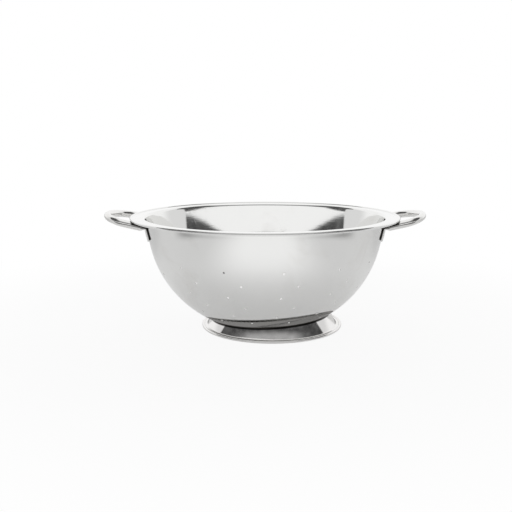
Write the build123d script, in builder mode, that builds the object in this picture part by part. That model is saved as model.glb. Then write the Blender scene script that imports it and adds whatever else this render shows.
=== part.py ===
from build123d import *
from math import acos, asin, atan2, cos, degrees, pi, radians, sin, sqrt, tan
import os

os.makedirs("parts", exist_ok=True)

# Whole colander: the foot stands on Z = 0, the handles point along +X and -X
rim_height = 110.0
rim_diameter = 260.0
sheet = 0.7
overrun = 2.0

# Rolled edges: the sheet is curled into a hollow bead that stands proud of the flange on both sides
bead_diameter = 2.6
flange_rise = 0.15
curl_gap = 0.15

# Bowl: outside sizes of the pressed sheet; the base is flattened above the wall arc's lowest point
flange_width = 11.0
rim_bend_radius = 2.0
wall_tilt = 8.6
upper_wall_radius = 353.0
upper_wall_depth = 30.0
base_knuckle_radius = 30.0
base_clearance = 5.7
base_flattening = 6.6

# Drain holes: zigzag rows around the wall, each row set out by its angle on the lower wall arc
hole_diameter = 2.0
row_count = 6
first_row_angle = 17.2
row_step_angle = 7.25
zigzag_reach = 6.9
column_angles = [-68, -39, -15, 12, 40, 64, 89, 115, 140, 165, 191, 216, 241, 266]
base_ring_shares = [0.93, 0.61, 0.3]
base_ring_steps = [1, 2, 2]

# Foot ring: its own flared strip, spot-welded a little off the bowl's axis
foot_shift = 6.6
foot_diameter = 138.6
foot_flange_width = 1.6
foot_bend_radius = 1.5
foot_bend_angle = 56.0
foot_flare_radius = 45.0
foot_flare_angle = 15.0
foot_top_rise = 12.0
foot_flat = 0.15
lip_width = 7.0

# Handles: bent tube, squashed flat at both ends; the loop is measured on the tube's centre line
handle_tube = 7.0
handle_wall = 0.9
handle_beyond_rim = 22.6
handle_half_width = 32.5
handle_end_bow = 4.5
handle_corner_radius = 16.0
handle_rise = 1.2
handle_rim_gap = 0.3
squash_length = 4.0
fold_radius = 0.8
fold_shares = [0.8, 0.85, 0.9, 0.95, 1.0]
tab_crown = 0.05
tab_length = 10.5
tab_slit = 0.1
tab_bite = 0.15
weld_diameter = 3.6
weld_height = 0.45

# Levels and radii of the rolled edges, and of the flanges that they border
bead_radius = bead_diameter / 2
rim_radius = rim_diameter / 2
rim_level = rim_height - bead_radius
flange_under = rim_level + flange_rise - sheet / 2
rim_bead_at = (rim_radius - bead_radius, rim_level)
wall_top_radius = rim_radius - bead_diameter - flange_width
foot_level = bead_radius - foot_flat
foot_flange_top = foot_level + flange_rise + sheet / 2
foot_bead_at = (foot_diameter / 2 - bead_radius, foot_level)
foot_flange_root = foot_diameter / 2 - bead_diameter - foot_flange_width

# Arcs of the bowl's outside, each tangent to the next
tilt = radians(wall_tilt)
upper_centre = (
    wall_top_radius - upper_wall_radius * cos(tilt),
    flange_under + upper_wall_radius * sin(tilt),
)
shoulder_level = rim_level - upper_wall_depth
shoulder_tilt = asin((upper_centre[1] - shoulder_level) / upper_wall_radius)
lower_depth = shoulder_level - base_clearance + base_flattening
lower_wall_radius = lower_depth / (1 - sin(shoulder_tilt))
lower_centre = (
    upper_centre[0] + (upper_wall_radius - lower_wall_radius) * cos(shoulder_tilt),
    upper_centre[1] - (upper_wall_radius - lower_wall_radius) * sin(shoulder_tilt),
)
knuckle_drop = lower_centre[1] - base_clearance - base_knuckle_radius
knuckle_turn = acos(knuckle_drop / (lower_wall_radius - base_knuckle_radius))
flat_radius = lower_centre[0] + (lower_wall_radius - base_knuckle_radius) * sin(knuckle_turn)
bend_level = flange_under - rim_bend_radius
bend_tilt = asin((upper_centre[1] - bend_level) / (upper_wall_radius + rim_bend_radius))


def bowl_line(out):
    """Draw the bowl's outline from its axis to the rim bead, this far outside the sheet's outer face."""
    base = Line((0, base_clearance - out), (flat_radius, base_clearance - out))
    knuckle = JernArc(base @ 1, base % 1, base_knuckle_radius + out, degrees(knuckle_turn))
    lower_turn = 90 - degrees(shoulder_tilt + knuckle_turn)
    lower = JernArc(knuckle @ 1, knuckle % 1, lower_wall_radius + out, lower_turn)
    upper = JernArc(lower @ 1, lower % 1, upper_wall_radius + out, degrees(shoulder_tilt - bend_tilt))
    bend = JernArc(upper @ 1, upper % 1, rim_bend_radius - out, degrees(bend_tilt) - 90)
    flange = Line(bend @ 1, (rim_bead_at[0] - bead_radius + sheet / 2, (bend @ 1).Y))
    return base @ 0, flange @ 1


def wall_radius(level):
    """Outside radius of the bowl's upper wall at a height."""
    return upper_centre[0] + sqrt(upper_wall_radius**2 - (level - upper_centre[1]) ** 2)


def roll_edge(bead_at):
    """Add the curled bead to the section being drawn, open by a thin gap under the flange."""
    with Locations(bead_at):
        Circle(bead_radius)
        Circle(bead_radius - sheet, mode=Mode.SUBTRACT)
    gap_at = (bead_at[0] - bead_radius + sheet / 2, bead_at[1] + flange_rise - sheet / 2 - curl_gap / 2)
    with Locations(gap_at):
        Rectangle(2 * sheet, curl_gap, mode=Mode.SUBTRACT)


def hole_place(radius, level, lean, azimuth):
    """A drain hole's place on the bowl, with its Z along the wall's outward normal."""
    out = Vector(sin(azimuth), -cos(azimuth), 0)
    normal = out * sin(lean) - Vector(0, 0, cos(lean))
    return Location(Plane(out * radius + Vector(0, 0, level), z_dir=normal))


# Drain holes in the wall, odd rows turned one way and even rows the other
hole_places = []
for row in range(row_count):
    wall_angle = radians(first_row_angle + row * row_step_angle)
    row_radius = lower_centre[0] + lower_wall_radius * cos(wall_angle)
    row_level = lower_centre[1] - lower_wall_radius * sin(wall_angle)
    swing = (row % 2 * 2 - 1) * zigzag_reach / row_radius
    for column in column_angles:
        lean = radians(90) - wall_angle
        hole_places.append(hole_place(row_radius, row_level, lean, radians(column) + swing))

# Drain holes in the flat base, where the inner rings take every second column
for ring, (share, step) in enumerate(zip(base_ring_shares, base_ring_steps)):
    ring_radius = share * flat_radius
    swing = (ring % 2 * 2 - 1) * zigzag_reach / ring_radius
    for column in column_angles[::step]:
        hole_places.append(hole_place(ring_radius, base_clearance, 0, radians(column) + swing))

# Bowl
with BuildPart() as bowl:
    with BuildSketch(Plane.XZ):
        with BuildLine():
            outside_start, outside_end = bowl_line(0)
            inside_start, inside_end = bowl_line(-sheet)
            Line(outside_start, inside_start)
            Line(outside_end, inside_end)
        make_face()
        roll_edge(rim_bead_at)
    revolve(axis=Axis.Z)
    with Locations(*hole_places):
        Cylinder(hole_diameter / 2, 2 * (sheet + overrun), mode=Mode.SUBTRACT)

# Room that the bowl fills, used to trim what is welded against its outside
with BuildPart() as bowl_room:
    with BuildSketch(Plane.XZ):
        with BuildLine():
            room_start, room_end = bowl_line(0)
            Polyline(room_end, (room_end.X, rim_height), (0, rim_height), room_start)
        make_face()
    revolve(axis=Axis.Z)

# Skin one sheet thick against the bowl's outside, from which the foot ring's lip is cut
with BuildPart() as bowl_skin:
    with BuildSketch(Plane.XZ):
        with BuildLine():
            skin_start, skin_end = bowl_line(sheet)
            near_start, near_end = bowl_line(0)
            Line(skin_start, near_start)
            Line(skin_end, near_end)
        make_face()
    revolve(axis=Axis.Z)

# Foot ring's own axis and drawing plane, and its outer radius where the flare ends
foot_plane = Plane((foot_shift, 0, 0), x_dir=(1, 0, 0), z_dir=(0, -1, 0))
foot_axis = Axis((foot_shift, 0, 0), (0, 0, 1))
bend_share = sin(radians(foot_bend_angle))
neck_share = sin(radians(foot_bend_angle + foot_flare_angle))
flare_inwards = foot_flare_radius * (neck_share - bend_share)
foot_neck_radius = foot_flange_root - foot_bend_radius * bend_share - flare_inwards


def foot_line(inwards):
    """Draw the foot ring's outline from its bead up to above the bowl, this far inside the outer face."""
    level = foot_flange_top - inwards
    flange = Line((foot_bead_at[0] - bead_radius + sheet / 2, level), (foot_flange_root, level))
    bend = JernArc(flange @ 1, flange % 1, foot_bend_radius + inwards, -foot_bend_angle)
    flare = JernArc(bend @ 1, bend % 1, foot_flare_radius + inwards, -foot_flare_angle)
    top = Line(flare @ 1, flare @ 1 + (flare % 1) * foot_top_rise)
    return flange @ 0, top @ 1


# Room inside the foot ring's outer face
with BuildPart() as foot_room:
    with BuildSketch(foot_plane):
        with BuildLine():
            foot_start, foot_end = foot_line(0)
            Polyline(foot_end, (0, foot_end.Y), (0, 0), (foot_start.X, 0), foot_start)
        make_face()
    revolve(axis=foot_axis)

# Lip turned in under the bowl, where the ring is spot-welded
with BuildPart() as lip:
    add(bowl_skin.part)
    add(foot_room.part, mode=Mode.INTERSECT)
    with Locations((foot_shift, 0, 0)):
        Cylinder(foot_neck_radius - lip_width, rim_height, mode=Mode.SUBTRACT)

# Foot ring
with BuildPart() as foot_ring:
    with BuildSketch(foot_plane):
        with BuildLine():
            outer_start, outer_end = foot_line(0)
            inner_start, inner_end = foot_line(sheet)
            Line(outer_start, inner_start)
            Line(outer_end, inner_end)
        make_face()
        roll_edge(foot_bead_at)
        with Locations((foot_bead_at[0], 0)):
            Rectangle(2 * bead_diameter, bead_diameter, align=(Align.CENTER, Align.MAX), mode=Mode.SUBTRACT)
    revolve(axis=foot_axis)
    add(bowl_room.part, mode=Mode.SUBTRACT)
    add(lip.part)

# Handle: the loop's plane tilts up from under the rim bead to the outer end
tube_radius = handle_tube / 2
handle_reach = rim_radius + handle_beyond_rim
handle_end_radius = handle_half_width + handle_end_bow
cross_x = sqrt(rim_bead_at[0] ** 2 - handle_half_width**2)
cross_level = rim_level - bead_radius - handle_rim_gap - tube_radius
loop_tilt = atan2(rim_level + handle_rise - cross_level, handle_reach - cross_x)
loop_reach = (handle_reach - cross_x) / cos(loop_tilt)
end_centre = loop_reach - handle_end_radius
corner_y = handle_half_width - handle_corner_radius
corner_x = end_centre + sqrt((handle_end_radius - handle_corner_radius) ** 2 - corner_y**2)
corner_turn = atan2(corner_y, corner_x - end_centre)

# Squashed tube: its two walls lie together, and half its girth is its width
tab_thickness = 2 * handle_wall + tab_slit
tab_width = pi / 2 * (handle_tube - handle_wall) + handle_wall

# Bowl wall behind the middle of a tab, which runs on sideways a little below its arm
tab_level = cross_level - tube_radius - tab_length / 2
tab_wall_radius = wall_radius(tab_level)
tab_sideways = tab_length / 2 * handle_half_width / tab_wall_radius
tab_azimuth = asin((handle_half_width + tab_sideways) / tab_wall_radius)
tab_tilt = asin((upper_centre[1] - tab_level) / upper_wall_radius)


def loop_point(u, v):
    """A point of the handle's tilted plane, u outwards from under the rim bead, v along Y."""
    return Vector(cross_x + u * cos(loop_tilt), v, cross_level + u * sin(loop_tilt))


def loop_arc_point(centre_u, centre_v, radius, angle):
    """A point on a circle in the handle's tilted plane."""
    return loop_point(centre_u + radius * cos(angle), centre_v + radius * sin(angle))


def blend(start, end, share):
    """A value part of the way from one to another."""
    return start + (end - start) * share


def tube_section(inset, share, stretch):
    """Draw the tube's section in four arcs, this far inside its skin, squashed and stretched."""
    radius = tube_radius - inset
    corner = radius * sin(radians(45))
    thickness = tab_thickness - 2 * inset
    width = tab_width - 2 * inset
    side = blend(radius, width / 2, share) * stretch
    across = blend(corner, (width - thickness) / 2, share) * stretch
    face = blend(radius, thickness / 2 + tab_crown, share)
    out = blend(corner, thickness / 2, share)
    with BuildLine() as outline:
        ThreePointArc((across, -out), (side, 0), (across, out))
        ThreePointArc((across, out), (0, face), (-across, out))
        ThreePointArc((-across, out), (-side, 0), (-across, -out))
        ThreePointArc((-across, -out), (0, -face), (across, -out))
    make_face(outline.edges())


def end_places(side):
    """Section planes along one end of the handle, as plane, share squashed and stretch; side is -1 or 1."""
    inwards = Vector(-cos(loop_tilt), 0, -sin(loop_tilt))
    flat_out = cos(tab_tilt)
    wall_out = Vector(cos(tab_azimuth) * flat_out, side * sin(tab_azimuth) * flat_out, -sin(tab_tilt))
    wall_point = Vector(cos(tab_azimuth), side * sin(tab_azimuth), 0) * tab_wall_radius
    wall_point += Vector(0, 0, tab_level)

    # Hinge of the fold, level and along the wall, with the strip going in over it and down past it
    hinge = Vector(-side * sin(tab_azimuth), cos(tab_azimuth), 0)
    under = inwards.cross(hinge).normalized()
    ahead = hinge.cross(under)
    fold_turn = acos(under.dot(wall_out))
    first_depth = fold_radius + blend(tube_radius, tab_thickness / 2, fold_shares[0])
    arm_start = loop_point(0, side * handle_half_width)
    hinge_off_wall = fold_radius + tab_thickness - tab_bite
    run_off_wall = hinge_off_wall + (wall_point - arm_start - under * first_depth).dot(wall_out)
    arm_end = arm_start - inwards * (run_off_wall / -inwards.dot(wall_out))
    hinge_at = arm_end + under * first_depth

    # Round end of the tube, the planes of the fold, and the tab's end
    stretch = 1 / inwards.dot(ahead)
    places = [(Plane(arm_end - inwards * squash_length, x_dir=(0, 1, 0), z_dir=inwards), 0, 1)]
    for step, share in enumerate(fold_shares):
        turn = fold_turn * step / (len(fold_shares) - 1)
        out = under * cos(turn) - ahead * sin(turn)
        centre = hinge_at - out * (fold_radius + blend(tube_radius, tab_thickness / 2, share))
        places.append((Plane(centre, x_dir=hinge, z_dir=hinge.cross(out)), share, stretch))
    downwards = places[-1][0].z_dir / stretch + hinge * inwards.dot(hinge)
    tab_end = places[-1][0].origin + downwards * tab_length
    places.append((Plane(tab_end, x_dir=wall_out.cross(downwards), z_dir=downwards), 1, 1))
    return places


# Both ends, and the centre line of the round tube from one to the other
ends = [end_places(-1), end_places(1)]
near_end = ends[0][0][0]
far_end = ends[1][0][0]
with BuildLine() as centre_line:
    middle_turn = (radians(90) + corner_turn) / 2
    Line(near_end.origin, loop_point(corner_x, -handle_half_width))
    ThreePointArc(
        loop_point(corner_x, -handle_half_width),
        loop_arc_point(corner_x, -corner_y, handle_corner_radius, -middle_turn),
        loop_arc_point(end_centre, 0, handle_end_radius, -corner_turn),
    )
    ThreePointArc(
        loop_arc_point(end_centre, 0, handle_end_radius, -corner_turn),
        loop_point(loop_reach, 0),
        loop_arc_point(end_centre, 0, handle_end_radius, corner_turn),
    )
    ThreePointArc(
        loop_arc_point(end_centre, 0, handle_end_radius, corner_turn),
        loop_arc_point(corner_x, corner_y, handle_corner_radius, middle_turn),
        loop_point(corner_x, handle_half_width),
    )
    Line(loop_point(corner_x, handle_half_width), far_end.origin)

# Ball of which a weld button is the cap
ball_radius = (weld_diameter**2 / 4 + weld_height**2) / (2 * weld_height)
cap_angle = degrees(asin(1 - weld_height / ball_radius))
ball_out = tab_thickness / 2 + weld_height - ball_radius

# Handle on the +X side
with BuildPart() as handle_right:
    # Outside of the tube, its squashed ends and its tabs
    with BuildSketch(near_end):
        tube_section(0, 0, 1)
    sweep(path=centre_line.wire())
    for places in ends:
        for place, share, stretch in places:
            with BuildSketch(place):
                tube_section(0, share, stretch)
        loft(ruled=True)
        tab_plane = places[-1][0]
        ball_at = tab_plane.origin - tab_plane.z_dir * (tab_length / 2) + tab_plane.y_dir * ball_out
        with Locations(Location(Plane(ball_at, z_dir=tab_plane.y_dir))):
            Sphere(ball_radius, arc_size1=cap_angle, arc_size2=90, align=None)

    # Bore of the tube, which the squashed ends close to a slit
    with BuildSketch(near_end):
        tube_section(handle_wall, 0, 1)
    sweep(path=centre_line.wire(), mode=Mode.SUBTRACT)
    for places in ends:
        for place, share, stretch in places:
            with BuildSketch(place):
                tube_section(handle_wall, share, stretch)
        loft(ruled=True, mode=Mode.SUBTRACT)

    # Backs of the tabs, trimmed to the bowl's wall
    add(bowl_room.part, mode=Mode.SUBTRACT)

# Handle on the -X side
with BuildPart() as handle_left:
    add(mirror(handle_right.part, about=Plane.YZ, mode=Mode.PRIVATE))

# Names and files
bowl.part.label = "bowl"
export_step(bowl.part, "parts/bowl.step")
foot_ring.part.label = "foot_ring"
export_step(foot_ring.part, "parts/foot_ring.step")
handle_right.part.label = "handle_right"
export_step(handle_right.part, "parts/handle_right.step")
handle_left.part.label = "handle_left"
export_step(handle_left.part, "parts/handle_left.step")
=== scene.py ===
from math import acos, asin, atan2, copysign, cos, pi, radians, sin, sqrt, tan

import bmesh
import bpy
from mathutils import Matrix, Vector


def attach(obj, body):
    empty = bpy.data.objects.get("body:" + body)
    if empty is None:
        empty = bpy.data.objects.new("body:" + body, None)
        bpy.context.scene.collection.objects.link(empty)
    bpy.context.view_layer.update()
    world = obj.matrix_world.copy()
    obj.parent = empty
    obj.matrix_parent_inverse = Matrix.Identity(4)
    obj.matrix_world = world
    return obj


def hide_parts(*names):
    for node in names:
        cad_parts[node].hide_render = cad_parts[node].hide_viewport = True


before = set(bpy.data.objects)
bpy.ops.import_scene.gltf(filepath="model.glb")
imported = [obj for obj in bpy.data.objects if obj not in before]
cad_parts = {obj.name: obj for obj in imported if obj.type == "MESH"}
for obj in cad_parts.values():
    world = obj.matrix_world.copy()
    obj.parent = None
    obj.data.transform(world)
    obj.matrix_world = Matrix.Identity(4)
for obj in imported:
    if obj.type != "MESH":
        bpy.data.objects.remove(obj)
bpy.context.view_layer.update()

# Bowl: one disc of stainless sheet, pressed and spun to a round wall above a small flat base.
# Its flange ends in a bead rolled from the same sheet, and all of it is polished on the lathe.
# The drain holes are punched through from inside, which leaves their edges a little rounded.
mm = 0.001
sheet = 0.7 * mm
bead_radius = 1.3 * mm
flange_rise = 0.15 * mm
rim_radius = 130 * mm
rim_level = 110 * mm - bead_radius
flange_width = 11 * mm
flange_under = rim_level + flange_rise - sheet / 2
rim_bend_radius = 2 * mm
base_clearance = 5.7 * mm
base_flattening = 6.6 * mm
base_knuckle_radius = 30 * mm
upper_wall_radius = 353 * mm
upper_wall_depth = 30 * mm
wall_tilt = radians(8.6)
wall_top_radius = rim_radius - 2 * bead_radius - flange_width
bowl_segments = 256
merge_distance = 0.001 * mm
crease = radians(35)

upper_centre = Vector((
    wall_top_radius - upper_wall_radius * cos(wall_tilt),
    0,
    flange_under + upper_wall_radius * sin(wall_tilt),
))
shoulder_level = rim_level - upper_wall_depth
shoulder_tilt = asin((upper_centre.z - shoulder_level) / upper_wall_radius)
lower_wall_radius = (shoulder_level - base_clearance + base_flattening) / (1 - sin(shoulder_tilt))
shoulder_out = Vector((cos(shoulder_tilt), 0, -sin(shoulder_tilt)))
lower_centre = upper_centre + shoulder_out * (upper_wall_radius - lower_wall_radius)
knuckle_drop = lower_centre.z - base_clearance - base_knuckle_radius
knuckle_turn = acos(knuckle_drop / (lower_wall_radius - base_knuckle_radius))
flat_radius = lower_centre.x + (lower_wall_radius - base_knuckle_radius) * sin(knuckle_turn)
bend_level = flange_under - rim_bend_radius
bend_tilt = asin((upper_centre.z - bend_level) / (upper_wall_radius + rim_bend_radius))
bend_out = Vector((cos(bend_tilt), 0, -sin(bend_tilt)))
bend_centre = upper_centre + bend_out * (upper_wall_radius + rim_bend_radius)


def go_straight(mesh, vert, across, up, steps=1):
    """Draw an outline on from its end point, in the XZ plane, and return the new end."""
    for step in range(steps):
        start = vert.co.copy()
        vert = bmesh.ops.extrude_vert_indiv(mesh, verts=[vert])["verts"][0]
        vert.co = start + Vector((across, 0, up)) / steps
    return vert


def go_round(mesh, vert, centre, turn, steps):
    """Draw an outline on along an arc, anticlockwise where the turn is positive, and return the new end."""
    arc = bmesh.ops.spin(
        mesh, geom=[vert], cent=centre, axis=(0, -1, 0), dvec=(0, 0, 0), angle=turn, steps=steps,
        use_merge=False, use_normal_flip=False, use_duplicate=False,
    )
    return next(part for part in arc["geom_last"] if isinstance(part, bmesh.types.BMVert))


def turn_outline(mesh, axis_x, segments):
    """Spin the outline round an upright axis into a closed skin that faces outwards."""
    bmesh.ops.spin(
        mesh, geom=mesh.verts[:] + mesh.edges[:], cent=(axis_x, 0, 0), axis=(0, 0, 1), dvec=(0, 0, 0),
        angle=2 * pi, steps=segments, use_merge=True, use_normal_flip=False, use_duplicate=False,
    )
    bmesh.ops.remove_doubles(mesh, verts=mesh.verts[:], dist=merge_distance)
    bmesh.ops.recalc_face_normals(mesh, faces=mesh.faces[:])


def new_piece(name, mesh):
    """Put a finished bmesh into the scene as an object at the origin."""
    data = bpy.data.meshes.new(name)
    mesh.to_mesh(data)
    mesh.free()
    piece = bpy.data.objects.new(name, data)
    bpy.context.scene.collection.objects.link(piece)
    return piece


def cut_away(piece, cutter):
    """Take one object's room out of a piece for good, and delete the cutter."""
    cut = piece.modifiers.new("cut", "BOOLEAN")
    cut.operation = "DIFFERENCE"
    cut.solver = "MANIFOLD"
    cut.object = cutter
    bpy.context.view_layer.update()
    graph = bpy.context.evaluated_depsgraph_get()
    shape = bpy.data.meshes.new_from_object(piece.evaluated_get(graph))
    shape.materials.clear()
    piece.modifiers.clear()
    piece.data = shape
    bpy.data.objects.remove(cutter)


def shade(piece, corner):
    """Smooth the shading, but keep creases sharper than this corner angle."""
    piece.data.shade_smooth()
    piece.data.set_sharp_from_angle(angle=corner)


def bowl_line(mesh, out):
    """Draw the bowl's outline from its axis to the flange, this far outside the sheet's outer face."""
    start = mesh.verts.new((0, 0, base_clearance - out))
    near = go_straight(mesh, start, flat_radius - sheet, 0, 6)
    base = go_straight(mesh, near, sheet, 0)
    knuckle_centre = (flat_radius, 0, base_clearance + base_knuckle_radius)
    knuckle = go_round(mesh, base, knuckle_centre, knuckle_turn, 10)
    lower = go_round(mesh, knuckle, lower_centre, pi / 2 - shoulder_tilt - knuckle_turn, 44)
    upper = go_round(mesh, lower, upper_centre, shoulder_tilt - bend_tilt, 8)
    return go_round(mesh, upper, bend_centre, bend_tilt - pi / 2, 10)


def bead_meets(side_level):
    """How far inside its centre a bead's skin meets the flange, at a level above that centre."""
    return sqrt(bead_radius**2 - side_level**2)


def draw_bead(mesh, top_end, under_end, bead_x, bead_z):
    """Draw both faces of a flange out to its bead, and the bead round between them."""
    top_level = top_end.co.z - bead_z
    under_level = under_end.co.z - bead_z
    top_reach = bead_x - bead_meets(top_level) - top_end.co.x
    under_reach = bead_x - bead_meets(under_level) - under_end.co.x
    top_end = go_straight(mesh, top_end, top_reach, 0, 3)
    go_straight(mesh, under_end, under_reach, 0, 3)
    turn = 2 * pi - asin(top_level / bead_radius) + asin(under_level / bead_radius)
    go_round(mesh, top_end, (bead_x, 0, bead_z), -turn, 32)


bowl_mesh = bmesh.new()
under_end = bowl_line(bowl_mesh, 0)
top_end = bowl_line(bowl_mesh, -sheet)
draw_bead(bowl_mesh, top_end, under_end, rim_radius - bead_radius, rim_level)
turn_outline(bowl_mesh, 0, bowl_segments)
bowl = new_piece("bowl_shell", bowl_mesh)

# Drain holes: zigzag rows up the wall and three rings in the base, all punched with one round punch
hole_radius = 1 * mm
hole_edge = 0.12 * mm
hole_segments = 20
first_row_angle = 17.2
row_pitch = 7.25
row_angles = [radians(first_row_angle + row_pitch * row) for row in range(6)]
zigzag_reach = 6.9 * mm
column_angles = [radians(a) for a in (-68, -39, -15, 12, 40, 64, 89, 115, 140, 165, 191, 216, 241, 266)]
base_rings = ((0.93 * flat_radius, 1), (0.61 * flat_radius, 2), (0.3 * flat_radius, 2))


def hole_place(radius, level, lean, azimuth):
    """Matrix that stands the punch on the bowl's outer face, with its Z along the outward normal."""
    out = Vector((sin(azimuth), -cos(azimuth), 0))
    normal = out * sin(lean) - Vector((0, 0, cos(lean)))
    place = out * radius + Vector((0, 0, level))
    return Matrix.Translation(place) @ normal.to_track_quat("Z", "Y").to_matrix().to_4x4()


hole_places = []
for row, angle in enumerate(row_angles):
    row_radius = lower_centre.x + lower_wall_radius * cos(angle)
    row_level = lower_centre.z - lower_wall_radius * sin(angle)
    swing = (row % 2 * 2 - 1) * zigzag_reach / row_radius
    for column in column_angles:
        hole_places.append(hole_place(row_radius, row_level, pi / 2 - angle, column + swing))
for ring, (ring_radius, step) in enumerate(base_rings):
    swing = (ring % 2 * 2 - 1) * zigzag_reach / ring_radius
    for column in column_angles[::step]:
        hole_places.append(hole_place(ring_radius, base_clearance, 0, column + swing))

punch_mesh = bmesh.new()
tip = go_straight(punch_mesh, punch_mesh.verts.new((0, 0, sheet)), hole_radius + hole_edge, 0)
tip = go_straight(punch_mesh, tip, 0, -sheet)
tip = go_round(punch_mesh, tip, (hole_radius + hole_edge, 0, -hole_edge), pi / 2, 3)
tip = go_straight(punch_mesh, tip, 0, 2 * hole_edge - sheet)
tip = go_round(punch_mesh, tip, (hole_radius + hole_edge, 0, hole_edge - sheet), pi / 2, 3)
tip = go_straight(punch_mesh, tip, 0, -sheet)
go_straight(punch_mesh, tip, -hole_radius - hole_edge, 0)
turn_outline(punch_mesh, 0, hole_segments)
punch = bpy.data.meshes.new("punch")
punch_mesh.to_mesh(punch)
punch_mesh.free()
punches_mesh = bmesh.new()
for place in hole_places:
    count = len(punches_mesh.verts)
    punches_mesh.from_mesh(punch)
    punches_mesh.verts.ensure_lookup_table()
    bmesh.ops.transform(punches_mesh, matrix=place, verts=punches_mesh.verts[count:])
cut_away(bowl, new_piece("punches", punches_mesh))
bpy.data.meshes.remove(punch)
shade(bowl, crease)


def new_group(name, inputs, output):
    """Start a shader node group with float inputs and their defaults, and one float output."""
    group = bpy.data.node_groups.new(name, "ShaderNodeTree")
    for label, value in inputs:
        socket = group.interface.new_socket(label, in_out="INPUT", socket_type="NodeSocketFloat")
        socket.default_value = value
    group.interface.new_socket(output, in_out="OUTPUT", socket_type="NodeSocketFloat")
    return group, group.nodes.new("NodeGroupInput"), group.nodes.new("NodeGroupOutput")


def add_node(tree, kind, settings=(), values=()):
    """Add a node with its settings and the values of its unlinked sockets."""
    node = tree.nodes.new(kind)
    for name, value in dict(settings).items():
        setattr(node, name, value)
    for name, value in dict(values).items():
        node.inputs[name].default_value = value
    return node


def math_node(tree, operation, first, second=None, third=None):
    """Add a math node whose inputs are sockets or numbers, and return its result."""
    node = add_node(tree, "ShaderNodeMath", {"operation": operation})
    for place, value in enumerate((first, second, third)):
        if isinstance(value, bpy.types.NodeSocket):
            tree.links.new(value, node.inputs[place])
        elif value is not None:
            node.inputs[place].default_value = value
    return node.outputs[0]


def smooth_step(tree, value, start, end):
    """A smooth step of a value, from 0 at the start to 1 at the end."""
    node = add_node(tree, "ShaderNodeMapRange", {"interpolation_type": "SMOOTHSTEP"})
    node.inputs["From Min"].default_value = start
    node.inputs["From Max"].default_value = end
    tree.links.new(value, node.inputs["Value"])
    return node.outputs[0]


def place_on_piece(tree):
    """The place on a piece as a vector, and its X, Y and Z."""
    place = add_node(tree, "ShaderNodeTexCoord").outputs["Object"]
    parts = add_node(tree, "ShaderNodeSeparateXYZ")
    tree.links.new(place, parts.inputs[0])
    return place, parts.outputs["X"], parts.outputs["Y"], parts.outputs["Z"]


def level_distance(tree, x, y):
    """How far from an upright axis a place lies, from its X and Y off that axis."""
    return math_node(tree, "SQRT", math_node(
        tree, "ADD", math_node(tree, "MULTIPLY", x, x), math_node(tree, "MULTIPLY", y, y)
    ))


# Lathe lines: fine rings round an upright axis, which fade in and out on their way round
lathe_lines, line_in, line_out = new_group(
    "Lathe lines", (("Lines per metre", 900), ("Axis X", 0)), "Height"
)
place, x, y, z = place_on_piece(lathe_lines)
from_axis = math_node(lathe_lines, "SUBTRACT", x, line_in.outputs["Axis X"])
across = add_node(lathe_lines, "ShaderNodeCombineXYZ")
lathe_lines.links.new(level_distance(lathe_lines, from_axis, y), across.inputs["X"])
lathe_lines.links.new(z, across.inputs["Y"])
rings = add_node(
    lathe_lines, "ShaderNodeTexNoise", {"noise_dimensions": "2D"}, {"Detail": 4, "Roughness": 0.65}
)
lathe_lines.links.new(across.outputs[0], rings.inputs["Vector"])
lathe_lines.links.new(line_in.outputs["Lines per metre"], rings.inputs["Scale"])
patches = add_node(lathe_lines, "ShaderNodeTexNoise", {}, {"Scale": 14, "Detail": 2})
lathe_lines.links.new(place, patches.inputs["Vector"])
centred = math_node(lathe_lines, "SUBTRACT", rings.outputs[0], 0.5)
strength = math_node(lathe_lines, "ADD", patches.outputs[0], 0.3)
lathe_lines.links.new(math_node(lathe_lines, "MULTIPLY", centred, strength), line_out.inputs[0])

# Smudges: soft patches where hands and a cloth have dulled the polish a little
smudges, smudge_in, smudge_out = new_group("Smudges", (("Size", 22), ("Spread", 0.56)), "Mask")
place = add_node(smudges, "ShaderNodeTexCoord").outputs["Object"]
blotches = add_node(smudges, "ShaderNodeTexNoise", {}, {"Detail": 5, "Roughness": 0.6, "Distortion": 0.6})
smudges.links.new(place, blotches.inputs["Vector"])
smudges.links.new(smudge_in.outputs["Size"], blotches.inputs["Scale"])
above = math_node(smudges, "SUBTRACT", blotches.outputs[0], smudge_in.outputs["Spread"])
smudge_mask = add_node(smudges, "ShaderNodeClamp")
smudges.links.new(math_node(smudges, "MULTIPLY", above, 6), smudge_mask.inputs["Value"])
smudges.links.new(smudge_mask.outputs[0], smudge_out.inputs[0])

# Scratches: hair-thin lines in loose tangles, from scrubbing and stacking
scratches, scratch_in, scratch_out = new_group("Scratches", (("Tangles", 60), ("Width", 0.012)), "Mask")
place = add_node(scratches, "ShaderNodeTexCoord").outputs["Object"]
bend = add_node(scratches, "ShaderNodeTexNoise", {}, {"Scale": 18, "Detail": 1})
scratches.links.new(place, bend.inputs["Vector"])
warped = add_node(scratches, "ShaderNodeVectorMath", {"operation": "MULTIPLY_ADD"})
warped.inputs[1].default_value = (0.02, 0.02, 0.02)
scratches.links.new(bend.outputs["Color"], warped.inputs[0])
scratches.links.new(place, warped.inputs[2])
cells = add_node(scratches, "ShaderNodeTexVoronoi", {"feature": "DISTANCE_TO_EDGE"})
scratches.links.new(warped.outputs[0], cells.inputs["Vector"])
scratches.links.new(scratch_in.outputs["Tangles"], cells.inputs["Scale"])
thin = math_node(scratches, "LESS_THAN", cells.outputs["Distance"], scratch_in.outputs["Width"])
worn = add_node(scratches, "ShaderNodeTexNoise", {}, {"Scale": 45, "Detail": 3})
scratches.links.new(place, worn.inputs["Vector"])
some = math_node(scratches, "GREATER_THAN", worn.outputs[0], 0.55)
scratches.links.new(math_node(scratches, "MULTIPLY", thin, some), scratch_out.inputs[0])


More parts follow.
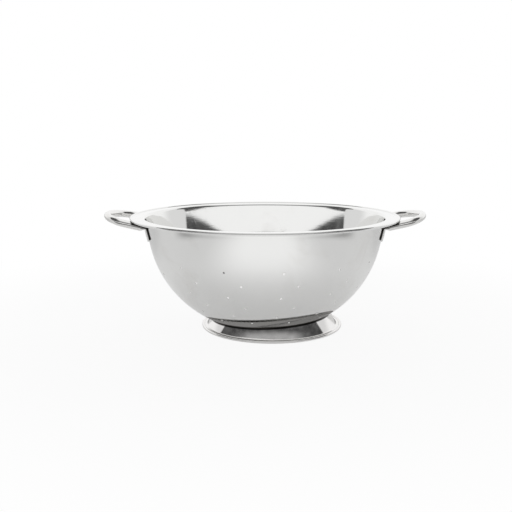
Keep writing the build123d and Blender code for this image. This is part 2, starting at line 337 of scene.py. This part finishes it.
# Steel: one polish for all the pieces, and the near-black colour of the shade painted in their seams and
# where they are seen mirrored
painted_shade_colour = (0.03, 0.028, 0.025)


def polished_steel(
    name, bright, dull, axis_x, lines, line_depth, wave_depth, roughness, smudge_roughness, lost_again,
    seam_shade=None,
):
    """Polished stainless steel: lathe lines and slow waves in the sheet, smudges and fine scratches.

    A share of the light is lost again where one polished face is seen mirrored in another, as painted shade:
    for mirrored rays the colour is darkened by that share towards near-black.
    The last argument, where it is given, draws the mask of the shade painted in the piece's seams.
    """
    material = bpy.data.materials.new(name)
    material.use_nodes = True
    tree = material.node_tree
    tree.nodes.clear()
    output = add_node(tree, "ShaderNodeOutputMaterial")
    steel = add_node(tree, "ShaderNodeBsdfPrincipled", {}, {"Metallic": 1})
    tree.links.new(steel.outputs[0], output.inputs["Surface"])

    def placed(group, values):
        node = add_node(tree, "ShaderNodeGroup", {"node_tree": group})
        for label, value in values:
            node.inputs[label].default_value = value
        return node.outputs[0]

    def darkened(colour, share):
        mix = add_node(tree, "ShaderNodeMix", {"data_type": "RGBA"})
        mix.inputs["B"].default_value = (*painted_shade_colour, 1)
        tree.links.new(share, mix.inputs["Factor"])
        tree.links.new(colour, mix.inputs["A"])
        return mix.outputs["Result"]

    line_height = placed(lathe_lines, (("Lines per metre", lines), ("Axis X", axis_x)))
    smudge = placed(smudges, ())
    scratch = placed(scratches, ())
    place = add_node(tree, "ShaderNodeTexCoord").outputs["Object"]
    waves = add_node(tree, "ShaderNodeTexNoise", {}, {"Scale": 38, "Detail": 1.5})
    tree.links.new(place, waves.inputs["Vector"])

    blend = add_node(tree, "ShaderNodeMix", {"data_type": "RGBA"})
    blend.inputs["A"].default_value = (*bright, 1)
    blend.inputs["B"].default_value = (*dull, 1)
    tree.links.new(smudge, blend.inputs["Factor"])
    # Painted shade: where this face is seen mirrored in another, its colour is darkened by the given share
    mirrored_again = add_node(tree, "ShaderNodeLightPath").outputs["Is Glossy Ray"]
    colour = darkened(blend.outputs["Result"], math_node(tree, "MULTIPLY", mirrored_again, lost_again))
    # Painted shade in the seams, darkening the colour towards near-black where a mask for it is given
    if seam_shade:
        colour = darkened(colour, seam_shade(tree))
    tree.links.new(colour, steel.inputs["Base Color"])

    rough = math_node(tree, "MULTIPLY_ADD", smudge, smudge_roughness, roughness)
    rough = math_node(tree, "MULTIPLY_ADD", scratch, smudge_roughness, rough)
    tree.links.new(rough, steel.inputs["Roughness"])

    wave_bump = add_node(tree, "ShaderNodeBump", {}, {"Distance": wave_depth})
    tree.links.new(waves.outputs[0], wave_bump.inputs["Height"])
    line_bump = add_node(tree, "ShaderNodeBump", {}, {"Distance": line_depth})
    tree.links.new(line_height, line_bump.inputs["Height"])
    tree.links.new(wave_bump.outputs[0], line_bump.inputs["Normal"])
    tree.links.new(line_bump.outputs[0], steel.inputs["Normal"])
    return material


bowl_steel = polished_steel(
    "bowl_steel", bright=(0.86, 0.86, 0.85), dull=(0.82, 0.815, 0.8), axis_x=0, lines=900,
    line_depth=0.006 * mm, wave_depth=0.03 * mm, roughness=0.06, smudge_roughness=0.05, lost_again=0.1,
)
bowl.data.materials.append(bowl_steel)
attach(bowl, "root")
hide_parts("bowl")

# Foot ring: a strip of the same sheet, flared and rolled to a bead along its lower edge.
# Its upper edge meets the bowl's round underside, where a lip turned inwards is spot-welded.
# It was welded on a little off the bowl's axis, towards the right-hand handle.
foot_shift = 6.6 * mm
foot_radius = 69.3 * mm
foot_flange_width = 1.6 * mm
foot_bend_radius = 1.5 * mm
foot_bend_angle = radians(56)
foot_flare_radius = 45 * mm
foot_flare_angle = radians(15)
foot_top_rise = 12 * mm
foot_flat = 0.15 * mm
lip_width = 7 * mm
foot_sink = 0.07 * mm
foot_segments = 192
foot_bead_x = foot_shift + foot_radius - bead_radius
foot_bead_z = bead_radius - foot_flat
foot_flange_top = foot_bead_z + flange_rise + sheet / 2
foot_flange_root = foot_shift + foot_radius - 2 * bead_radius - foot_flange_width


def foot_line(mesh, inwards):
    """Draw the foot ring's outline from its flange up into the bowl, this far inside the outer face."""
    start = mesh.verts.new((foot_flange_root, 0, foot_flange_top - inwards))
    bend_centre = Vector((foot_flange_root, 0, foot_flange_top + foot_bend_radius))
    bend = go_round(mesh, start, bend_centre, -foot_bend_angle, 6)
    steep = Vector((-sin(foot_bend_angle), 0, -cos(foot_bend_angle)))
    flare_centre = bend_centre + steep * (foot_bend_radius - foot_flare_radius)
    flare = go_round(mesh, bend, flare_centre, -foot_flare_angle, 10)
    lean = foot_bend_angle + foot_flare_angle
    end = go_straight(mesh, flare, -foot_top_rise * cos(lean), foot_top_rise * sin(lean), 4)
    return start, end


foot_mesh = bmesh.new()
outer_start, outer_end = foot_line(foot_mesh, 0)
inner_start, inner_end = foot_line(foot_mesh, sheet)
foot_mesh.edges.new((outer_end, inner_end))
draw_bead(foot_mesh, outer_start, inner_start, foot_bead_x, foot_bead_z)
turn_outline(foot_mesh, foot_shift, foot_segments)
for vert in foot_mesh.verts:
    vert.co.z = max(vert.co.z, 0)
foot = new_piece("foot_ring_shell", foot_mesh)

room_mesh = bmesh.new()
room_end = bowl_line(room_mesh, -foot_sink)
room_end = go_straight(room_mesh, room_end, 0, bead_radius)
go_straight(room_mesh, room_end, -room_end.co.x, 0)
turn_outline(room_mesh, 0, bowl_segments)
cut_away(foot, new_piece("bowl_room", room_mesh))


def under_level(radius):
    """Height of the bowl's outer face at a distance from its axis."""
    if radius < flat_radius:
        return base_clearance
    if radius < flat_radius + base_knuckle_radius * sin(knuckle_turn):
        drop = sqrt(base_knuckle_radius**2 - (radius - flat_radius) ** 2)
        return base_clearance + base_knuckle_radius - drop
    return lower_centre.z - sqrt(lower_wall_radius**2 - (radius - lower_centre.x) ** 2)


neck_share = sin(foot_bend_angle + foot_flare_angle) - sin(foot_bend_angle)
foot_neck = foot_flange_root - foot_bend_radius * sin(foot_bend_angle) - foot_flare_radius * neck_share
lip_mesh = bmesh.new()
tip = lip_mesh.verts.new((foot_neck - lip_width, 0, foot_sink))
tip = go_straight(lip_mesh, tip, lip_width - sheet / 2, 0, 6)
tip = go_straight(lip_mesh, tip, 0, -sheet - foot_sink)
tip = go_straight(lip_mesh, tip, sheet / 2 - lip_width, 0, 6)
go_straight(lip_mesh, tip, 0, sheet + foot_sink)
turn_outline(lip_mesh, foot_shift, foot_segments)
for vert in lip_mesh.verts:
    vert.co.z += under_level(vert.co.xy.length)
lip = bpy.data.meshes.new("lip")
lip_mesh.to_mesh(lip)
lip_mesh.free()
foot_mesh = bmesh.new()
foot_mesh.from_mesh(foot.data)
foot_mesh.from_mesh(lip)
foot_mesh.to_mesh(foot.data)
foot_mesh.free()
bpy.data.meshes.remove(lip)
shade(foot, crease)

# Painted shade: the foot ring's colour is darkened in the seam where it meets the bowl
seam_reach = 2 * mm
seam_core = 0.9 * mm


def foot_seam_shade(tree):
    """Mask of the shade painted on the foot ring, by how far below the bowl's outer face it lies."""
    place, x, y, z = place_on_piece(tree)
    from_centre = math_node(tree, "SUBTRACT", level_distance(tree, x, y), lower_centre.x)
    squared = math_node(tree, "MULTIPLY", from_centre, from_centre)
    bowl_drop = math_node(tree, "SQRT", math_node(tree, "SUBTRACT", lower_wall_radius**2, squared))
    bowl_level = math_node(tree, "SUBTRACT", lower_centre.z, bowl_drop)
    return smooth_step(tree, math_node(tree, "SUBTRACT", bowl_level, z), seam_reach, seam_core)


foot_steel = polished_steel(
    "foot_steel", bright=(0.84, 0.83, 0.82), dull=(0.8, 0.79, 0.77), axis_x=foot_shift, lines=1400,
    line_depth=0.005 * mm, wave_depth=0.02 * mm, roughness=0.08, smudge_roughness=0.05, lost_again=0.75,
    seam_shade=foot_seam_shade,
)
foot.data.materials.append(foot_steel)
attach(foot, "root")
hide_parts("foot_ring")

# Handles: stainless tube bent to a loop, its two ends squashed flat and folded down along the wall.
# Each flat tab is spot-welded to the bowl, which raises a small button on its outer face.
# The loop rises a little from under the rim bead to its bowed outer end.
tube_radius = 3.5 * mm
tube_wall = 0.9 * mm
beyond_rim = 22.6 * mm
half_width = 32.5 * mm
end_bow = 4.5 * mm
corner_radius = 16 * mm
handle_rise = 1.2 * mm
rim_gap = 0.3 * mm
squash_length = 4 * mm
fold_radius = 0.8 * mm
fold_share = 0.8
tab_crown = 0.05 * mm
tab_length = 10.5 * mm
tab_slit = 0.1 * mm
tab_bite = 0.15 * mm
weld_radius = 1.8 * mm
weld_height = 0.45 * mm
tube_segments = 32
weld_segments = 24
handle_crease = radians(40)

reach = rim_radius + beyond_rim
end_radius = half_width + end_bow
cross_x = sqrt((rim_radius - bead_radius) ** 2 - half_width**2)
cross_level = rim_level - bead_radius - rim_gap - tube_radius
loop_tilt = atan2(rim_level + handle_rise - cross_level, reach - cross_x)
end_centre = (reach - cross_x) / cos(loop_tilt) - end_radius
corner_y = half_width - corner_radius
corner_x = end_centre + sqrt((end_radius - corner_radius) ** 2 - corner_y**2)
corner_turn = atan2(corner_y, corner_x - end_centre)
tab_half_width = (pi / 2 * (2 * tube_radius - tube_wall) + tube_wall) / 2
tab_half_thickness = tube_wall + tab_slit / 2

tab_level = cross_level - tube_radius - tab_length / 2
tab_wall_radius = upper_centre.x + sqrt(upper_wall_radius**2 - (tab_level - upper_centre.z) ** 2)
tab_azimuth = asin((half_width + tab_length / 2 * half_width / tab_wall_radius) / tab_wall_radius)
tab_tilt = asin((upper_centre.z - tab_level) / upper_wall_radius)
loop_along = Vector((cos(loop_tilt), 0, sin(loop_tilt)))
loop_normal = Vector((-sin(loop_tilt), 0, cos(loop_tilt)))

# Fold of the near end: its hinge is level and along the wall, and the strip goes in over it and down
wall_facing = Vector((cos(tab_azimuth), -sin(tab_azimuth), 0))
wall_out = wall_facing * cos(tab_tilt) - Vector((0, 0, sin(tab_tilt)))
wall_point = wall_facing * tab_wall_radius + Vector((0, 0, tab_level))
hinge = Vector((sin(tab_azimuth), cos(tab_azimuth), 0))
under = hinge.cross(loop_along).normalized()
ahead = hinge.cross(under)
fold_turn = under.angle(wall_out)
oblique = -loop_along.dot(ahead)
first_depth = fold_radius + tube_radius + (tab_half_thickness - tube_radius) * fold_share
arm_start = Vector((cross_x, -half_width, cross_level))
off_wall = fold_radius + 2 * tab_half_thickness - tab_bite
off_wall += (wall_point - arm_start - under * first_depth).dot(wall_out)
arm_end = arm_start + loop_along * (off_wall / loop_along.dot(wall_out))
round_end = arm_end + loop_along * squash_length
hinge_at = arm_end + under * first_depth


def loop_point(u, v):
    """A point of the loop's tilted plane, u outwards from under the rim bead, v along Y."""
    return Vector((cross_x, v, cross_level)) + loop_along * u


def tube_straight(mesh, edges, move):
    """Draw a tube on along a straight run, and return the edges of its new end."""
    made = bmesh.ops.extrude_edge_only(mesh, edges=edges)["geom"]
    bmesh.ops.translate(mesh, vec=move, verts=[part for part in made if isinstance(part, bmesh.types.BMVert)])
    return [part for part in made if isinstance(part, bmesh.types.BMEdge) and part.is_boundary]


def tube_round(mesh, edges, centre, axis, turn, steps):
    """Draw a tube on round a bend, and return the edges of its new end."""
    verts = list({vert for edge in edges for vert in edge.verts})
    made = bmesh.ops.spin(
        mesh, geom=verts + edges, cent=centre, axis=axis, dvec=(0, 0, 0), angle=turn, steps=steps,
        use_merge=False, use_normal_flip=False, use_duplicate=False,
    )["geom_last"]
    return [part for part in made if isinstance(part, bmesh.types.BMEdge)]


button_mesh = bmesh.new()
ball_radius = (weld_radius**2 + weld_height**2) / (2 * weld_height)
tip = button_mesh.verts.new((0, 0, weld_height))
tip = go_round(button_mesh, tip, (0, 0, weld_height - ball_radius), -asin(weld_radius / ball_radius), 6)
tip = go_straight(button_mesh, tip, 0, -weld_height)
go_straight(button_mesh, tip, -tip.co.x, 0)
turn_outline(button_mesh, 0, weld_segments)
weld_button = bpy.data.meshes.new("weld_button")
button_mesh.to_mesh(weld_button)
button_mesh.free()


def make_handle(name, side):
    """Model one handle, with side 1 for the one towards +X and -1 for its mirror image."""
    mesh = bmesh.new()
    angle_of = mesh.verts.layers.float.new("angle")
    ring = bmesh.ops.create_circle(mesh, cap_ends=False, radius=tube_radius, segments=tube_segments)["verts"]
    for vert in ring:
        vert[angle_of] = atan2(vert.co.y, vert.co.x)
    level = Vector((0, 1, 0))
    turned = Matrix((level, -loop_normal, -loop_along)).transposed().to_4x4()
    bmesh.ops.transform(mesh, matrix=Matrix.Translation(round_end) @ turned, verts=ring)
    first = mesh.edges[:]

    edges = tube_straight(mesh, first, loop_point(corner_x, -half_width) - round_end)
    edges = tube_round(
        mesh, edges, loop_point(corner_x, -corner_y), loop_normal, pi / 2 - corner_turn, 16
    )
    edges = tube_round(mesh, edges, loop_point(end_centre, 0), loop_normal, corner_turn, 10)

    # One end: squashed, folded over its hinge, and open by the slit that is left of the tube's bore
    def half_sizes(share):
        half_across = tube_radius + (tab_half_width - tube_radius) * share
        half_out = tube_radius + (tab_half_thickness + tab_crown - tube_radius) * share
        return half_across, half_out, 2 + 2 * share

    def next_section(edges, centre, across, out, half_across, half_out, squareness):
        made = bmesh.ops.extrude_edge_only(mesh, edges=edges)["geom"]
        for vert in [part for part in made if isinstance(part, bmesh.types.BMVert)]:
            c, s = cos(vert[angle_of]), sin(vert[angle_of])
            u = copysign(abs(c) ** (2 / squareness), c) * half_across
            v = copysign(abs(s) ** (2 / squareness), s) * half_out
            vert.co = centre + across * u + out * v
        return [part for part in made if isinstance(part, bmesh.types.BMEdge) and part.is_boundary]

    edges = first
    steps = 10
    for step in range(1, steps + 1):
        way = step / steps
        share = fold_share * way * way * (3 - 2 * way)
        across = level.lerp(hinge / oblique, way)
        out = (-loop_normal).lerp(under, way)
        edges = next_section(edges, round_end.lerp(arm_end, way), across, out, *half_sizes(share))
    for step in range(1, steps + 1):
        way = step / steps
        share = fold_share + (1 - fold_share) * way
        out = under * cos(fold_turn * way) - ahead * sin(fold_turn * way)
        centre = hinge_at - out * (fold_radius + tube_radius + (tab_half_thickness - tube_radius) * share)
        edges = next_section(edges, centre, hinge / oblique, out, *half_sizes(share))
    down = hinge.cross(wall_out) * oblique - hinge * loop_along.dot(hinge)
    square = wall_out.cross(down)
    tab_end = centre + down * tab_length
    flat, crown, squareness = half_sizes(1)
    for way in (0.25, 0.5, 0.75):
        across = (hinge / oblique).lerp(square, way)
        edges = next_section(edges, centre.lerp(tab_end, way), across, wall_out, flat, crown, squareness)
    edges = next_section(edges, tab_end - down * tab_slit, square, wall_out, flat, crown, squareness)
    edges = next_section(edges, tab_end, square, wall_out, flat - tab_slit, crown - tab_slit, 4)
    slit = (square, wall_out, tab_half_width - tube_wall, tab_slit / 2, 4)
    edges = next_section(edges, tab_end, *slit)
    edges = next_section(edges, tab_end - down * (tab_length / 2), *slit)
    bmesh.ops.contextual_create(mesh, geom=edges)

    # Weld button on the tab's outer face
    count = len(mesh.verts)
    mesh.from_mesh(weld_button)
    mesh.verts.ensure_lookup_table()
    weld_at = centre.lerp(tab_end, 0.5) + wall_out * crown
    upright = Matrix((-square, down, wall_out)).transposed().to_4x4()
    bmesh.ops.transform(mesh, matrix=Matrix.Translation(weld_at) @ upright, verts=mesh.verts[count:])

    # Other half of the loop, closed on the first along its middle
    bmesh.ops.mirror(
        mesh, geom=mesh.verts[:] + mesh.edges[:] + mesh.faces[:], matrix=Matrix.Identity(4),
        merge_dist=merge_distance, axis="Y",
    )
    bmesh.ops.remove_doubles(mesh, verts=mesh.verts[:], dist=merge_distance)
    if side < 0:
        bmesh.ops.scale(mesh, vec=(-1, 1, 1), verts=mesh.verts[:])
    bmesh.ops.recalc_face_normals(mesh, faces=mesh.faces[:])
    handle = new_piece(name, mesh)
    shade(handle, handle_crease)
    return handle


# Painted shade: the handles' colour is darkened where the tube passes close under the rim, and along the
# tabs' seams
rim_shade_slope = 0.27
rim_shade_drops = (5 * mm, 4 * mm)
rim_shade_radii = (rim_radius + 0.3 * mm, rim_radius - 1.5 * mm)
tab_shade_depths = (1.5 * mm, 1 * mm)


def handle_seam_shade(tree):
    """Mask of the shade painted on the handles: under the rim, deeper further in, and next to the bowl's
    wall.
    """
    place, x, y, z = place_on_piece(tree)
    radius = level_distance(tree, x, y)
    leaning = math_node(tree, "MULTIPLY_ADD", radius, -rim_shade_slope, z)
    leaning_level = rim_level - rim_shade_slope * rim_radius
    under_rim = smooth_step(tree, leaning, *(leaning_level - drop for drop in rim_shade_drops))
    inside_rim = smooth_step(tree, radius, *rim_shade_radii)
    drop = math_node(tree, "SUBTRACT", z, upper_centre.z)
    squared = math_node(tree, "MULTIPLY", drop, drop)
    wall_here = math_node(tree, "SQRT", math_node(tree, "SUBTRACT", upper_wall_radius**2, squared))
    off_wall = math_node(tree, "SUBTRACT", math_node(tree, "SUBTRACT", radius, upper_centre.x), wall_here)
    by_wall = smooth_step(tree, off_wall, *tab_shade_depths)
    return math_node(tree, "MAXIMUM", math_node(tree, "MULTIPLY", under_rim, inside_rim), by_wall)


handle_steel = polished_steel(
    "handle_steel", bright=(0.84, 0.835, 0.82), dull=(0.8, 0.79, 0.77), axis_x=0, lines=500,
    line_depth=0.003 * mm, wave_depth=0.02 * mm, roughness=0.1, smudge_roughness=0.06, lost_again=0.3,
    seam_shade=handle_seam_shade,
)
for name, side in (("handle_right", 1), ("handle_left", -1)):
    handle = make_handle(name + "_tube", side)
    handle.data.materials.append(handle_steel)
    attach(handle, "root")
    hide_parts(name)

# Table: a plain white sheet of paper, which shows white to the camera and keeps a faint shadow.
# The polish mirrors it as the photo's steel does, with light and shade painted in for mirrored rays only:
# a painted pool of light in front, painted shade to the far sides, and painted dark further out in front.
table_half_size = 12
paper_colour = (0.88, 0.88, 0.88, 1)
mirrored_share = 0.32
pool_front = (80 * mm, 260 * mm)
pool_beside = (240 * mm, 60 * mm)
pool_share = 0.6
dim_beside = (170 * mm, 330 * mm)
dim_behind = (-40 * mm, -200 * mm)
dim_share = 0.2
painted_dark_reach = (310 * mm, 370 * mm)
painted_dark_front = (40 * mm, 160 * mm)
painted_dark_share = 0.6
painted_dark_beside = (60 * mm, 180 * mm)
painted_dark_beside_share = 0.18
shadow_reach = (150 * mm, 500 * mm)
shadow_share = 0.08
through_share = 0.4

table_mesh = bmesh.new()
bmesh.ops.create_grid(table_mesh, x_segments=1, y_segments=1, size=table_half_size)
table = new_piece("table", table_mesh)
table_paper = bpy.data.materials.new("table_paper")
table_paper.use_nodes = True
tree = table_paper.node_tree
tree.nodes.clear()
paper = add_node(tree, "ShaderNodeBsdfDiffuse", {}, {"Color": paper_colour})
white = add_node(tree, "ShaderNodeEmission", {}, {"Color": (1, 1, 1, 1), "Strength": 1})
# Black, the painted dark that mirrored rays see further out
painted_dark = add_node(tree, "ShaderNodeEmission", {}, {"Strength": 0})
rays = add_node(tree, "ShaderNodeLightPath")
place, x, y, z = place_on_piece(tree)
beside = math_node(tree, "ABSOLUTE", x)
front = math_node(tree, "MULTIPLY", y, -1)
from_axis = level_distance(tree, beside, front)

# Painted pool of light in front and painted shade to the far sides, in the brightness that mirrored rays see
pool = math_node(
    tree, "MULTIPLY", smooth_step(tree, front, *pool_front), smooth_step(tree, beside, *pool_beside)
)
dim = math_node(
    tree, "MULTIPLY", smooth_step(tree, beside, *dim_beside), smooth_step(tree, front, *dim_behind)
)
mirrored = math_node(tree, "MULTIPLY_ADD", pool, pool_share, mirrored_share)
mirrored = math_node(tree, "MULTIPLY_ADD", dim, -dim_share, mirrored)
plain = smooth_step(tree, from_axis, *shadow_reach)
plain = math_node(tree, "MULTIPLY_ADD", plain, shadow_share, 1 - shadow_share)
seen = math_node(tree, "MULTIPLY", rays.outputs["Is Camera Ray"], plain)
seen = math_node(tree, "MULTIPLY_ADD", rays.outputs["Is Glossy Ray"], mirrored, seen)
seen = math_node(tree, "MULTIPLY_ADD", rays.outputs["Is Transmission Ray"], through_share, seen)
# Painted dark for mirrored rays only, further out in front and to the sides, where the paper still shows
# white to the camera
painted_dark_zone = math_node(
    tree, "MULTIPLY", smooth_step(tree, from_axis, *painted_dark_reach), smooth_step(tree, front, *painted_dark_front)
)
unlit = smooth_step(tree, beside, *painted_dark_beside)
unlit = math_node(tree, "MULTIPLY_ADD", unlit, painted_dark_beside_share, painted_dark_share)
unlit = math_node(tree, "MULTIPLY", painted_dark_zone, unlit)
unlit = math_node(tree, "MULTIPLY", unlit, rays.outputs["Is Glossy Ray"])

output = add_node(tree, "ShaderNodeOutputMaterial")
on_paper = add_node(tree, "ShaderNodeMixShader")
tree.links.new(seen, on_paper.inputs[0])
tree.links.new(paper.outputs[0], on_paper.inputs[1])
tree.links.new(white.outputs[0], on_paper.inputs[2])
everywhere = add_node(tree, "ShaderNodeMixShader")
tree.links.new(unlit, everywhere.inputs[0])
tree.links.new(on_paper.outputs[0], everywhere.inputs[1])
tree.links.new(painted_dark.outputs[0], everywhere.inputs[2])
tree.links.new(everywhere.outputs[0], output.inputs["Surface"])
table.data.materials.append(table_paper)

# Light: white walls and ceiling all round, with the darker open side of the room past the camera.
# Elevations and azimuths are in degrees, the azimuth from straight past the camera to either side.
# Light that comes by way of two polished faces finds the open side lit as well.
open_side = (93, 0)
edge_bend = 1.25
edge_low = 7.9
edge_rise = 24
edge_high = 21
edge_softness = (-0.3, 0.5)
side_wall = (82, 84)
ceiling_start = (52, 68)
murk_depth = 1.01
murk_swing = 0.2
glow_elevation = (26, 44)
glow_azimuth = (85, 40)
glow_share = 0.33
skirting_elevation = (6, 2)
skirting_azimuth = (25, 45)
skirting_share = 0.6
skirting_side_share = 0.32
corner_azimuth = (130, 112)
corner_elevation = (50, 30)
corner_share = 0.22

world = bpy.data.worlds.new("studio")
bpy.context.scene.world = world
world.use_nodes = True
tree = world.node_tree
tree.nodes.clear()
direction = add_node(tree, "ShaderNodeTexCoord").outputs["Generated"]
parts = add_node(tree, "ShaderNodeSeparateXYZ")
tree.links.new(direction, parts.inputs[0])
elevation = math_node(tree, "ARCSINE", parts.outputs["Z"])
toward = math_node(tree, "MULTIPLY", parts.outputs["Y"], -1)
azimuth = math_node(tree, "ABSOLUTE", math_node(tree, "ARCTAN2", parts.outputs["X"], toward))


def fade(value, span):
    """A smooth step of a world angle, from 0 at the span's first angle to 1 at its last, in degrees."""
    return smooth_step(tree, value, *(radians(angle) for angle in span))


def light_left(level, dark, share):
    """The level of light that is left where a share of it is lost in the dark."""
    return math_node(tree, "MULTIPLY", level, math_node(tree, "MULTIPLY_ADD", dark, -share, 1))


ahead = add_node(tree, "ShaderNodeMapRange", {"clamp": True})
ahead.inputs["From Min"].default_value = radians(open_side[0])
ahead.inputs["From Max"].default_value = radians(open_side[1])
tree.links.new(azimuth, ahead.inputs["Value"])
edge = math_node(tree, "POWER", ahead.outputs[0], edge_bend)
edge = math_node(tree, "MULTIPLY_ADD", edge, radians(edge_rise), radians(edge_low))
edge = math_node(tree, "MINIMUM", edge, radians(edge_high))
above_edge = math_node(tree, "SUBTRACT", elevation, edge)
past_side = fade(math_node(tree, "SUBTRACT", azimuth, elevation), side_wall)
open_here = math_node(tree, "SUBTRACT", 1, past_side)
dark = math_node(tree, "MULTIPLY", fade(above_edge, edge_softness), open_here)
dark = light_left(dark, fade(elevation, ceiling_start), 1)
murk = add_node(tree, "ShaderNodeTexNoise", {}, {"Scale": 6, "Detail": 3})
tree.links.new(direction, murk.inputs["Vector"])
depth = math_node(tree, "MULTIPLY_ADD", murk.outputs[0], -murk_swing, murk_depth)
glow = math_node(tree, "MULTIPLY", fade(elevation, glow_elevation), fade(azimuth, glow_azimuth))
depth = math_node(tree, "MULTIPLY_ADD", glow, -glow_share, depth)
level = math_node(tree, "SUBTRACT", 1, math_node(tree, "MULTIPLY", dark, depth))
skirting = math_node(tree, "MULTIPLY", fade(elevation, skirting_elevation), open_here)
deeper = fade(azimuth, skirting_azimuth)
deeper = math_node(tree, "MULTIPLY_ADD", deeper, skirting_side_share, skirting_share)
level = light_left(level, math_node(tree, "MULTIPLY", skirting, deeper), 1)
corner = math_node(tree, "MULTIPLY", fade(azimuth, corner_azimuth), past_side)
corner = math_node(tree, "MULTIPLY", corner, fade(elevation, corner_elevation))
level = light_left(level, corner, corner_share)
rays = add_node(tree, "ShaderNodeLightPath")
mirrored_twice = math_node(tree, "GREATER_THAN", rays.outputs["Glossy Depth"], 1.5)
level = math_node(tree, "MAXIMUM", level, mirrored_twice)
level = math_node(tree, "MAXIMUM", level, rays.outputs["Is Camera Ray"])
sky = add_node(tree, "ShaderNodeBackground", {}, {"Color": (1, 1, 1, 1)})
tree.links.new(level, sky.inputs["Strength"])
output = add_node(tree, "ShaderNodeOutputWorld")
tree.links.new(sky.outputs[0], output.inputs["Surface"])

# Camera: a little above the rim, 0.67 m in front of the bowl's axis
camera_distance = 668.2 * mm
camera_height = rim_level + 78.26 * mm
camera_pitch = radians(10.04)
photo_side = 512
focal_pixels = 687.5
axis_pixel = 264.6
lens_data = bpy.data.cameras.new("camera")
lens_data.sensor_width = 36
lens_data.lens = lens_data.sensor_width * focal_pixels / photo_side
lens_data.shift_x = ((photo_side - 1) / 2 - axis_pixel) / photo_side
camera = bpy.data.objects.new("camera", lens_data)
camera.location = (0, -camera_distance, camera_height)
camera.rotation_euler = (pi / 2 - camera_pitch, 0, 0)
bpy.context.scene.collection.objects.link(camera)
bpy.context.scene.camera = camera
bpy.context.scene.view_settings.view_transform = "Standard"
